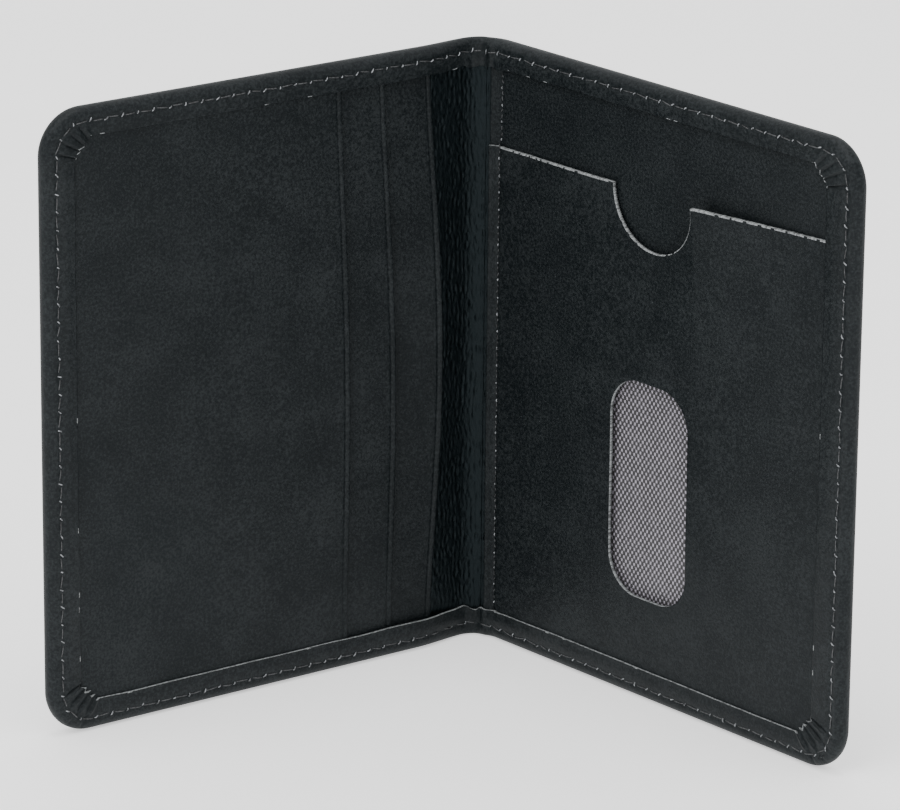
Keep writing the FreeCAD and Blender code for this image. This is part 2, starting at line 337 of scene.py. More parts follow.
def leather(name, colour, worn, roughness, gloss, grain_mm, grain_depth, coarse_depth, stretch=1.0,
            **constants):
    """Pigmented leather: pores between fine cells and lighter specks on a slow unevenness.

    stretch below 1 draws the grain out upright.
    """
    made = Material(name, colour, roughness, Specular_IOR_Level=gloss, **constants)
    place = made.place()
    if stretch != 1.0:
        place = made.scaled(place, 1.0, 1.0, stretch)
    mottle = made.noise(place, 9.0, 3.0, 0.6)
    fine = made.noise(place, 0.42, 3.0, 0.75)
    pores = made.cells(place, grain_mm)
    tone = (mottle * 0.22 + fine * 0.78).fit(0.40, 0.66)
    made.feed("Base Color", made.colour_mix(tone, colour, worn))
    made.feed("Roughness", fine.fit(0.3, 0.7, roughness - 0.08, roughness + 0.08))
    height = pores.fit(0.0, 0.6) * 0.7 + fine * 0.6
    grain = made.bump(height, grain_depth)
    swell = made.bump(made.noise(place, 3.2, 2.0), coarse_depth, grain)
    made.feed("Normal", swell)
    return made.data


def cut_edge_material(colour):
    """Raw cut edge of dyed leather: paler fibres, matt and uneven."""
    made = Material("cut_edge", colour, 0.8)
    place = made.place()
    fibre = made.noise(place, 0.35, 3.0, 0.7)
    made.feed("Base Color", made.colour_mix(fibre.fit(0.34, 0.60), shaded(colour, 0.22), colour))
    made.feed("Normal", made.bump(fibre, 0.08))
    return made.data


def nylon(name, dark, light, cell_mm, depth):
    """Woven nylon: two crossing sets of diagonal threads that shine where they cross, where the roughness is
    lower. Its colour is painted light as well: near black between the threads, which is painted shade, and
    lightest where they cross, which is a painted highlight.
    """
    made = Material(name, light, 0.5, Sheen_Weight=0.25)
    place = made.place()
    split = made.nodes.new("ShaderNodeSeparateXYZ")
    made.links.new(place.socket, split.inputs[0])
    s, z = Signal(made, split.outputs["X"]), Signal(made, split.outputs["Z"])
    turn = 2.0 * math.pi / (cell_mm * MM)
    first = ((s * 0.80 + z * 0.60) * turn).math("SINE")
    second = ((s * 0.80 - z * 0.60) * turn).math("SINE")
    weave = first.math("MAXIMUM", second) * 0.6 + first * second * 0.4
    slubs = made.noise(place, 0.9, 3.0)
    # painted light: base colour from the dark end in the gaps, painted shade, to the cloth's colour at the
    # crossings, painted highlight; the slubs add random tone
    made.feed("Base Color", made.colour_mix((weave + slubs * 0.4).fit(0.28, 1.0), dark, light))
    made.feed("Roughness", weave.fit(-1.0, 1.0, 0.7, 0.42))
    made.feed("Normal", made.bump(weave, depth))
    return made.data


def thread_material(name, dark, light):
    """Bonded thread: a strand in two tones in short random patches; the lighter patches are painted glints on its
    twists, besides its uneven tone.
    """
    made = Material(name, dark, 0.42, Specular_IOR_Level=0.5)
    place = made.place()
    twist = made.noise(place, 0.35, 2.0)
    # lighter patches: painted glints on the twists, and random tone
    made.feed("Base Color", made.colour_mix(twist.fit(0.35, 0.62), dark, light))
    made.feed("Normal", made.bump(twist, 0.03))
    return made.data


def board_material(colour):
    """Pressed fibre board: matt, with short fibres."""
    made = Material("fibre_board", colour, 0.85)
    texture = made.node("ShaderNodeTexCoord", {}, {}, "Object")
    fibre = made.noise(texture, 0.8, 4.0, 0.7)
    made.feed("Base Color", made.colour_mix(fibre.fit(0.3, 0.7), shaded(colour, 0.6), colour))
    made.feed("Normal", made.bump(fibre, 0.05))
    return made.data


# ---- properties ---------------------------------------------------------------------------------
def mm_property(name, description, default, low, high):
    """Property for a size in millimetres."""
    return FloatProperty(name=name, description=description + ", in millimetres",
                         default=default, min=low, max=high)


def colour_property(name, description, default):
    """Property for a linear colour."""
    return FloatVectorProperty(name=name, description=description, subtype="COLOR",
                               default=default, min=0.0, max=1.0)


class WalletSizes(bpy.types.PropertyGroup):
    """Sizes that a maker would change."""

    corner: mm_property("Corner radius", "Rounded outer corners of the cover", 7.0, 2.0, 15.0)
    hem_top: mm_property("Top hem", "Width of the hem along the top edge", 4.3, 3.0, 9.0)
    hem_bottom: mm_property("Bottom hem", "Width of the hem along the bottom edge", 4.7, 3.0, 9.0)
    left_hem: mm_property("Left side hem", "Width of the hem at the left leaf's end", 5.1, 3.0, 9.0)
    right_hem: mm_property("Right side hem", "Width of the hem at the right leaf's end", 6.0, 3.0, 9.0)
    stitch_inset: mm_property("Stitch inset", "Seam's distance from the outer edge", 2.0, 1.2, 4.0)
    stitch_pitch: mm_property("Stitch pitch", "From one needle hole to the next", 2.75, 1.5, 4.0)
    front_mouth: mm_property("Front pocket mouth", "From the fold line to the front mouth",
                             25.3, 15.0, 40.0)
    pocket_step: mm_property("Pocket step", "Distance between two pocket mouths", 8.8, 5.0, 12.0)
    lip: mm_property("ID pocket lip", "Height of the ID pocket's upper edge", 80.2, 60.0, 90.0)
    pleats: IntProperty(name="Corner pleats", default=4, min=0, max=8,
                        description="Gathers in the hem at each rounded corner")


class WalletColours(bpy.types.PropertyGroup):
    """Colours of the finishes."""

    cover: colour_property("Leather", "Pigmented black leather", (0.0036, 0.0056, 0.0066))
    worn: colour_property("Worn leather", "Its lighter tone", (0.0175, 0.0210, 0.0225))
    # the lining's own dark tone, set darker still: part of it is painted shade of the deep gutter
    lining: colour_property("Gutter lining", "Grained lining leather", (0.0012, 0.0022, 0.0026))
    cut: colour_property("Cut edge", "Raw edge of the pocket leather", (0.27, 0.285, 0.29))
    cloth: colour_property("Grey nylon", "Cloth behind the thumb window", (0.36, 0.335, 0.39))
    # runs use a darker copy of this colour, painted shade, and ticks a lighter copy, painted glints
    thread: colour_property("Thread", "Seam thread", (0.20, 0.21, 0.22))


def sizes():
    return bpy.context.scene.wallet_sizes


FINISHES = {}


def shaded(colour, share):
    """A colour made darker or lighter by a share."""
    return tuple(part * share for part in colour)


def make_finishes():
    """Makes every material of the wallet from the colours of the scene."""
    c = bpy.context.scene.wallet_colours
    cover, worn, lining = tuple(c.cover), tuple(c.worn), tuple(c.lining)
    cloth, thread = tuple(c.cloth), tuple(c.thread)
    FINISHES.update(
        cover_leather=leather("cover_leather", cover, worn, 0.50, 0.14, 0.42, 0.03, 0.05),
        pocket_leather=leather("pocket_leather", cover, worn, 0.54, 0.13, 0.36, 0.03, 0.03),
        # gutter lining: its base colour is the lining's dark tone made darker still, partly painted shade of the
        # gutter
        gutter_lining=leather("gutter_lining", lining, cover, 0.42, 0.17, 0.80, 0.14, 0.05,
                              stretch=0.5, Specular_Tint=(0.72, 0.92, 1.0, 1.0)),
        cut_edge=cut_edge_material(tuple(c.cut)),
        # the nylons' dark ends are painted shade between their threads
        grey_nylon=nylon("grey_nylon", shaded(cloth, 0.03), cloth, 0.72, 0.06),
        pocket_nylon=nylon("pocket_nylon", (0.008, 0.008, 0.009), (0.03, 0.03, 0.033), 0.6, 0.04),
        # one thread in two copies: the runs' darker copy is painted shade, the ticks' lighter copy painted glints
        thread=thread_material("thread", (0.010, 0.011, 0.012), shaded(thread, 0.28)),
        thread_tick=thread_material("thread_tick", shaded(thread, 0.3), shaded(thread, 1.3)),
        board=board_material((0.25, 0.23, 0.20)))


def finish(name):
    """The material of that name."""
    if not FINISHES:
        make_finishes()
    return FINISHES[name]


# ---- the cover ----------------------------------------------------------------------------------
THICK = {1: RIGHT_THICK, -1: LEFT_THICK}
STEP = {1: (-3.3, 2.6), -1: (0.5, 10.0)}     # where each leaf starts to thicken, and over how far


def thickness_at(d, side):
    """Thickness of the edge at d from a leaf's fold line: thin over the spine, and rising to
    each leaf's own as a smoothstep. The two rises add up, so that the halves meet."""
    total = SPINE_THICK
    for leaf, (start, length) in STEP.items():
        own = d if leaf == side else -SPINE - d
        total = total + (THICK[leaf] - SPINE_THICK) * smooth((own - start) / length)
    return total


GRID_ROWS = 104          # rows of a cover's face
PROFILE_ARC = 12         # steps round its folded edge
PROFILE_HEM = 18         # steps over its hem
CORNER_STEPS = 44        # steps round each corner
RAW_CORNER = 3.6         # radius of the hem's raw edge in a corner
SCUFFED = 0.48           # random level past which the raw edge is scuffed


class LeafEdge:
    """The outline of one leaf, half the spine included, as arrays over its samples.

    d is the distance from the leaf's fold line. The samples run along the bottom from the spine's
    middle, round the corner, up the outer edge, round the upper corner and back along the top.
    """

    def __init__(self, side):
        radius, thick = sizes().corner, THICK[side]
        hem_side, self.seed = leaf_side(side)[1:]
        run = graded((MID, MID + 0.3, 4), (MID + 0.3, 4.0, 34), (4.0, LEAF - radius, 84))
        angle = np.linspace(0.0, math.pi / 2.0, CORNER_STEPS + 1)[1:]
        half = thickness_at(run, side) / 2.0
        full = thick / 2.0
        inner = radius - full
        self.low_d = np.concatenate([run, LEAF - radius + inner * np.sin(angle)])
        self.low_z = np.concatenate([half, radius - inner * np.cos(angle)])
        self.low_angle = np.concatenate([np.zeros(len(run)), angle])
        upright = np.linspace(radius, HEIGHT - radius, GRID_ROWS)[1:-1]
        back = slice(None, None, -1)
        self.d = np.concatenate([self.low_d, np.full(len(upright), LEAF - full), self.low_d[back]])
        self.z = np.concatenate([self.low_z, upright, HEIGHT - self.low_z[back]])
        self.angle = np.concatenate([self.low_angle, np.full(len(upright), math.pi / 2.0),
                                     math.pi - self.low_angle[back]])
        self.half = thickness_at(self.d, side) / 2.0
        self.out_d, self.out_z = np.sin(self.angle), -np.cos(self.angle)
        self.length = np.concatenate([[0.0], np.cumsum(np.hypot(np.diff(self.d), np.diff(self.z)))])
        self.hem_line(hem_side, radius)

    def hem_line(self, hem_side, radius):
        """Inner raw edge of the hem, sample by sample: cut off across the corners, where every
        gather of the leather steps it in and out."""
        sz = sizes()
        round_in = RAW_CORNER
        reach = LEAF - hem_side - round_in
        upper = self.angle > math.pi / 2.0 + 1e-9
        width = np.where(upper, sz.hem_top, sz.hem_bottom)
        on_run = (self.angle < 1e-9) | (self.angle > math.pi - 1e-9)
        on_side = np.abs(self.angle - math.pi / 2.0) < 1e-9
        along = MID + (self.d - MID) * (reach - MID) / (LEAF - radius - MID)
        low, high = sz.hem_bottom + round_in, HEIGHT - sz.hem_top - round_in
        share = (self.z - radius) / (HEIGHT - 2.0 * radius)
        centre_z = np.where(upper, high, low)
        self.raw_d = np.where(on_run, along, np.where(on_side, LEAF - hem_side,
                                                      reach + round_in * self.out_d))
        straight_z = np.where(upper, HEIGHT - width, width)
        self.raw_z = np.where(on_run, straight_z, np.where(on_side, low + share * (high - low),
                                                           centre_z + round_in * self.out_z))
        saw, mask = self.pleats()
        wander = 0.10 * hash_wave(self.length, 0.0 * self.length, self.seed + 11, 5, 14.0)
        wander = wander + mask * (0.9 * saw - 0.45 - 0.6 * np.sin(2.0 * self.angle) ** 2)
        self.pucker = smooth((5.5 - self.d) / 4.0) * smooth((self.d - MID) / 0.8)
        wander = wander + 0.55 * self.pucker * hash_wave(self.length, 0.0, self.seed + 13, 4, 4.0)
        self.raw_d = self.raw_d + wander * self.out_d
        self.raw_z = self.raw_z + wander * self.out_z

    def pleats(self):
        """Sawtooth from 0 to 1 over each gather of the corners, zero elsewhere, and its mask."""
        local = np.minimum(self.angle, math.pi - self.angle)
        turn = local / (math.pi / 2.0)
        count = sizes().pleats + 0.35
        saw = np.mod(turn * count + 0.2, 1.0)
        mask = smooth(turn / 0.12) * smooth((1.0 - turn) / 0.10 + 0.35)
        mask = np.where((local > 1e-6) & (local < math.pi / 2.0 - 1e-6), mask, 0.0)
        return saw, mask

    def profile(self):
        """Rings of the leather's outer and inner sheet, from the outer face round the edge.

        The edge is a half circle as thick as the leaf. Over the hem the height falls a little
        where it was skived, dips along the seam, rises in steps at the corner's gathers, and
        ripples where the bend of the spine puckers it. The inner sheet follows it, less the
        leather's thickness.
        """
        phi = np.linspace(0.0, math.pi, PROFILE_ARC + 1)[1:, None]
        thick = 2.0 * self.half
        saw, mask = self.pleats()
        fold = np.exp(-(np.minimum(saw, 1.0 - saw) / 0.09) ** 2) * mask
        share = graded((0.0, 0.965, PROFILE_HEM - 1), (0.965, 1.0, 1))[1:, None]
        hem_d = self.d + (self.raw_d - self.d) * share
        hem_z = self.z + (self.raw_z - self.z) * share
        from_edge = self.half + np.hypot(hem_d - self.d, hem_z - self.z)
        inset, pitch = sizes().stitch_inset, sizes().stitch_pitch
        pull = 0.65 + 0.35 * np.cos(2.0 * math.pi * self.length / pitch)
        dip = 0.13 * np.exp(-((from_edge - inset) / 0.42) ** 2) * pull
        swell = 0.05 * smooth((from_edge - inset) / 1.2) * smooth((1.0 - share) / 0.45)
        rise = mask * (0.62 * saw - 0.24) * smooth((share - 0.12) / 0.4)
        wave = 0.03 * hash_wave(hem_d, hem_z, self.seed, 6, 6.0) * smooth(share * 3.0)
        gather = 1.0 + hash_wave(self.length, 0.0, self.seed + 17, 4, 2.4)
        wave = wave + 0.16 * gather * self.pucker * smooth((share - 0.2) / 0.5)
        hem_n = (thick - 0.08 * smooth((share - 0.55) / 0.45) - dip + swell + rise + wave
                 - 0.22 * fold * smooth(share / 0.3))

        def rings(reach, middle, deep, over, crease):
            d = np.concatenate([self.d + self.out_d * reach * np.sin(phi), hem_d])
            z = np.concatenate([self.z + self.out_z * reach * np.sin(phi), hem_z])
            turn = middle - deep * np.cos(phi) - crease * fold * smooth((phi - 1.6) / 1.2)
            return d, np.concatenate([turn, over]), z
        outer = rings(self.half, self.half, self.half, hem_n, 0.15)
        inner = rings(self.half - LEATHER, (LEATHER + thick - HEM) / 2.0,
                      (thick - HEM - LEATHER) / 2.0, hem_n - HEM, 0.0)
        return outer, inner

    def surface(self):
        """Points (d, n, z), quads and materials of the leather, as one closed shell.

        The outer and the inner sheet have the same quads. Strips join them along the hem's raw
        edge, which is the cut one, and along the middle of the spine. Here and there the last
        quads before the raw edge are scuffed, and look cut as well.
        """
        columns = len(self.low_d)
        share = np.linspace(0.0, 1.0, GRID_ROWS)
        top = HEIGHT - self.low_z
        face_z = self.low_z[:, None] + (top - self.low_z)[:, None] * share
        face_d = np.repeat(self.low_d[:, None], GRID_ROWS, axis=1)
        face_n = 0.05 * hash_wave(face_d, face_z, self.seed + 5, 5, 40.0)
        edge_fade = smooth(np.minimum(face_z - 1.0, HEIGHT - 1.0 - face_z) / 8.0)
        face_n = (face_n + 0.05) * edge_fade * smooth((LEAF - 2.0 - face_d) / 8.0)
        index = np.arange(columns * GRID_ROWS).reshape(columns, GRID_ROWS)
        border = np.concatenate([index[:, 0], index[-1, 1:-1], index[::-1, -1]])
        sheets = []
        for deep, (ring_d, ring_n, ring_z) in zip((0.0, LEATHER), self.profile()):
            sheets.append(np.stack([np.concatenate([face_d.ravel(), ring_d.ravel()]),
                                    np.concatenate([(face_n + deep).ravel(), ring_n.ravel()]),
                                    np.concatenate([face_z.ravel(), ring_z.ravel()])], axis=-1))
        rings = index.size + np.arange(ring_d.size).reshape(ring_d.shape)
        rings = np.concatenate([border[None], rings])
        quads = np.concatenate([grid_faces(index), grid_faces(rings)[:, ::-1]])
        count = len(sheets[0])
        raw = rings[-1]
        middle = np.concatenate([rings[::-1, 0], index[0, 1:-1], rings[:, -1]])
        strips = [grid_faces(np.stack([line, line + count])) for line in (raw, middle)]
        faces = np.concatenate([quads, quads[:, ::-1] + count, *strips])
        kinds = np.zeros(len(faces), int)
        kinds[2 * len(quads):2 * len(quads) + len(strips[0])] = 1
        gathered = self.pleats()[1][1:]
        scuff = hash_wave(self.length[1:], 0.0, self.seed + 31, 7, 1.5) + 0.45 * gathered
        kinds[len(quads) - len(scuff):len(quads)] = scuff > SCUFFED
        return np.concatenate(sheets), faces, kinds


def keep_inside(d, z, inset):
    """Draws points in towards a corner's centre until they are inset from its rounded outline."""
    radius = sizes().corner
    u, v = d - (LEAF - radius), np.abs(z - HEIGHT / 2.0) - (HEIGHT / 2.0 - radius)
    far = np.hypot(np.maximum(u, 0.0), np.maximum(v, 0.0))
    pull = np.minimum(1.0, (radius - inset) / np.maximum(far, 0.01))
    pull = np.where((u > 0.0) & (v > 0.0), pull, 1.0)
    new_v = np.where(v > 0.0, v * pull, v)
    return (np.where(u > 0.0, LEAF - radius + u * pull, d),
            HEIGHT / 2.0 + np.sign(z - HEIGHT / 2.0) * (new_v + HEIGHT / 2.0 - radius))


def to_flat(side, points):
    """Distances from a leaf's own fold line made places in the flat layout."""
    flat = np.array(points, float)
    flat[..., 0] = flat[..., 0] if side > 0 else -SPINE - flat[..., 0]
    return flat


def leaf_side(side):
    """Body, hem width and seed of the right (+1) or left (-1) leaf."""
    sz = sizes()
    if side > 0:
        return "right_leaf", sz.right_hem, 21
    return "left_leaf", sz.left_hem, 47


def across_fold(obj, side):
    """Bakes a piece's placement into its mesh; the ends of the bend zone of fold_points on its side are worked out
    but not used.
    """
    spots = [(ZONE, BASE, 0.0), (-ZONE_END, BASE, 0.0)]
    start, end = (fold_points(*to_flat(side, spot)) for spot in spots)
    if side > 0:
        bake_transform(obj)
    else:
        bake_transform(obj)


class WALLET_OT_cover(bpy.types.Operator):
    """Outer leather: one turned-edge cover, halved along the middle of the spine."""

    bl_idname = "wallet.cover"
    bl_label = "Cover"

    def execute(self, context):
        for side, label in ((1, "right"), (-1, "left")):
            points, faces, kinds = LeafEdge(side).surface()
            obj = build(label + "_cover_leather", to_flat(side, points), faces.tolist(),
                        [finish("cover_leather"), finish("cut_edge")], kinds)
            tidy_shell(obj)
            across_fold(obj, side)
            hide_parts(label + "_cover", *(["spine_cover"] if side > 0 else []))
        return {"FINISHED"}


# ---- gutter lining ------------------------------------------------------------------------------
class WALLET_OT_lining(bpy.types.Operator):
    """Grained lining leather round the inside of the bend, with its upright creases."""

    bl_idname = "wallet.lining"
    bl_label = "Gutter lining"

    def execute(self, context):
        for side, label in ((1, "right"), (-1, "left")):
            d = graded((MID, 3.0, 50), (3.0, 8.0, 30))
            z = np.linspace(0.95, HEIGHT - 0.95, 300)
            dd, zz = np.meshgrid(d, z, indexing="ij")
            top = np.stack([dd, BASE + self.creases(side, dd, zz), zz], axis=-1)
            low = np.stack([dd, np.full(dd.shape, 0.82), zz], axis=-1)
            obj = closed_sheet(label + "_gutter_lining", to_flat(side, top), to_flat(side, low),
                               [finish("gutter_lining")])
            across_fold(obj, side)
            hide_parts(label + "_lining_wing", *(["spine_lining"] if side > 0 else []))
        return {"FINISHED"}

    @staticmethod
    def creases(side, d, z):
        """Pebbled grain drawn out upright: ridges from sines whose phase drifts with height, and
        short lumps from two random fields, flat where the panels lie on the lining."""
        s = d if side > 0 else -SPINE - d
        drift = 0.7 * hash_wave(0.0 * s, z, 5, 5, 22.0) + 0.4 * hash_wave(s, z, 6, 5, 7.0)
        ridges = 1.0 - np.abs(np.sin((s + drift) * math.pi / 0.8))
        lumps = hash_wave(2.2 * s, 0.9 * z, 7, 9, 1.7)
        patch = 0.5 + 0.5 * smooth(0.5 + 0.8 * hash_wave(s, z, 8, 4, 12.0))
        bare = smooth((-0.7 - d) / 0.6) if side > 0 else smooth((7.4 - d) / 1.5)
        return bare * (0.05 * ridges * patch + 0.04 * lumps)


# ---- card pockets -------------------------------------------------------------------------------
INSET = 1.2              # pocket leather stays this far inside the cover's outline


def folded_mouth(count, radius):
    """(inward offset, height) of a folded leather edge, along a quarter circle of that radius."""
    turn = np.linspace(0.0, math.pi / 2.0, count)
    return radius * (1.0 - np.cos(turn)), radius * np.sin(turn)


class WALLET_OT_card_pockets(bpy.types.Operator):
    """Three stepped card pockets of the left leaf, whose mouths gape a little at mid height."""

    bl_idname = "wallet.card_pockets"
    bl_label = "Card pockets"

    def execute(self, context):
        sz = sizes()
        middle = sz.front_mouth - sz.pocket_step
        rear = middle - sz.pocket_step
        side_end = LEAF - INSET
        self.pocket("front_pocket_leather", "front_pocket_panel", sz.front_mouth, side_end,
                    level=2.58, gape=1.6, fade=30.0, lean=(0.0, -1.6), seed=3)
        self.pocket("middle_pocket_leather", "middle_pocket_strip", middle, middle + 16.0,
                    level=2.10, gape=2.2, fade=30.0, lean=(0.7, -1.4), seed=4)
        self.pocket("rear_pocket_leather", "rear_pocket_strip", rear, rear + 16.0,
                    level=1.65, gape=3.4, fade=26.0, lean=(0.7, -0.2), seed=5)
        return {"FINISHED"}

    def pocket(self, name, node, mouth, end, level, gape, fade, lean, seed):
        """One pocket front. Its height over the cover is level, plus the gape at the mouth.

        The gape is greatest at mid height, as a power of a sine of the height, and dies away
        from the mouth as a square. A crease is pressed in beside the folded mouth. lean is how
        far the mouth stands off its line at the top and at the bottom.
        """
        radius = 0.28
        off, up = folded_mouth(7, radius)
        d = np.concatenate([mouth + off, mouth + graded((0.32, 2.0, 14), (2.0, end - mouth, 40))])
        rise = np.concatenate([up, np.full(len(d) - len(up), radius)])
        z = np.linspace(1.0, HEIGHT - 1.0, 150)
        dd, zz = np.meshgrid(d, z, indexing="ij")
        tall = np.sin(math.pi * np.clip((zz - 3.0) / (HEIGHT - 6.0), 0.0, 1.0)) ** 1.45
        away = np.clip(1.0 - (dd - mouth) / fade, 0.0, 1.0) ** 2
        bulge = gape * tall * away
        bulge = bulge + 0.05 * hash_wave(dd, zz, seed, 5, 22.0) * smooth((dd - mouth) / 3.0)
        crease = -0.15 * np.exp(-((dd - mouth - 0.85) / 0.20) ** 2)
        at_top, at_bottom = lean
        tilt = at_bottom + (at_top - at_bottom) * zz / HEIGHT
        dd = dd + tilt * np.clip((end - dd) / (end - mouth), 0.0, 1.0)
        dd, zz = keep_inside(dd, zz, INSET)
        centre = level - radius + bulge
        top = np.stack([dd, centre + rise[:, None] + crease, zz], axis=-1)
        low = np.stack([dd, centre - rise[:, None], zz], axis=-1)
        obj = closed_sheet(name, to_flat(-1, top), to_flat(-1, low), [finish("pocket_leather")])
        self.settle(obj, level - 0.3)
        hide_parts(node)

    @staticmethod
    def settle(obj, rest):
        """Rides on the left leaf and takes a mesh of its own; an anchor at the height rest is worked out but not
        used.
        """
        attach(obj, "left_leaf")
        anchor = fold_points(-SPINE - 30.0, rest, HEIGHT / 2.0)
        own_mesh(obj)


# ---- ID pocket ----------------------------------------------------------------------------------
NOTCH_X, NOTCH_R = 36.3, 9.1
WINDOW = (35.8, 33.0, 8.4, 17.1, 6.0)       # middle d and z, half width, half height, corner
WINDOW_FIELD = (22.0, 50.0, 12.5, 55.5)     # rectangle round it that has its own mesh
ID_EDGE = -1.2           # raw edge of the ID panels, just round the bend
ID_SEAM = 1.1            # its seam, up to which the panels bend with the fold
ID_FLAT = 2.3            # height of the pocket's face where it lies flat
ID_LEATHER = 0.56        # its thickness
ID_SEWN = 71.0           # from here on, the face is held flat by the perimeter seam
BAND_FOOT = 60.0         # lower edge of the band behind the lip
BAND_TOP, BAND_UNDER = 1.70, 1.32           # heights of its two faces


def id_lip(d):
    """Upper edge of the ID pocket: a little higher towards the outer edge, and frayed."""
    fray = 0.05 * hash_wave(d, 0.0, 19, 7, 1.6)
    return sizes().lip - 0.8 + 1.1 * np.clip(d / 72.0, 0.0, 1.0) ** 1.5 + fray


def id_level(d, z):
    """Height of the ID pocket's face: flat at its sewn edges, proud beside the notch.

    The right shoulder of the notch stands up most, and that lift fades along the lip as a
    power and down the pocket as an exponential. The middle of the pocket is slightly crowned.
    """
    lip = sizes().lip
    shoulder = NOTCH_X + NOTCH_R
    beyond = np.clip((ID_SEWN - d) / (ID_SEWN - shoulder), 0.0, 1.0) ** 1.6
    before = np.clip((d - NOTCH_X + 3.0) / (NOTCH_R + 3.0), 0.0, 1.0) ** 1.6
    lift = 2.2 * np.where(d >= shoulder, beyond, before) * np.exp(-np.clip(lip - z, 0.0, None) / 11.0)
    left = smooth((d - 4.0) / 20.0) * smooth((NOTCH_X + 3.0 - d) / 9.0)
    lift = lift + 0.4 * left * np.exp(-np.clip(lip - z, 0.0, None) / 9.0)
    crown = 0.45 * np.sin(math.pi * np.clip((d - 4.0) / 66.5, 0.0, 1.0)) ** 1.2
    crown = crown * smooth((z - 5.0) / 25.0) * smooth((lip + 10.0 - z) / 25.0)
    press = -0.16 * np.exp(-((d - ID_SEAM) / 0.5) ** 2)
    calm = smooth((d - 4.0) / 3.0) * smooth((ID_SEWN - d) / 3.0)
    return ID_FLAT + lift + crown + press + calm * 0.04 * hash_wave(d, z, 71, 5, 24.0)


def window_ring(per_side):
    """Rounded rectangle of the thumb window: straight sides and quarter-circle corners, each
    side with half of the corner at either end, walked as a square's border is."""
    cx, cz, a, b, r = WINDOW
    t = np.linspace(-1.0, 1.0, per_side + 1)[:-1]
    flat = 0.55
    bend = np.clip((np.abs(t) - flat) / (1.0 - flat), 0.0, 1.0) * math.pi / 4.0
    straight = np.clip(np.abs(t) / flat, 0.0, 1.0) * np.sign(t)

    def edge(half_out, half_along):
        out = half_out - r + r * np.cos(bend)
        along = straight * (half_along - r) + np.sign(t) * r * np.sin(bend)
        return out, along
    out_b, along_b = edge(b, a)
    out_a, along_a = edge(a, b)
    x = np.concatenate([along_b, out_a, -along_b, -out_a])
    z = np.concatenate([-out_b, along_a, out_b, -along_a])
    return cx + x, cz + z


def notch_columns(d0, d1, count):
    """Places along the lip from d0 to d1 that crowd on the notch's half circle: (d, height)."""
    sides = 5
    angle = np.linspace(0.0, math.pi, count + 1 - 2 * sides)
    left = np.linspace(d0, NOTCH_X - NOTCH_R, sides, endpoint=False)
    right = np.linspace(d1, NOTCH_X + NOTCH_R, sides, endpoint=False)[::-1]
    d = np.concatenate([left, NOTCH_X - NOTCH_R * np.cos(angle), right])
    deep = np.concatenate([0.0 * left, NOTCH_R * np.sin(angle), 0.0 * right])
    return d, id_lip(d) - deep


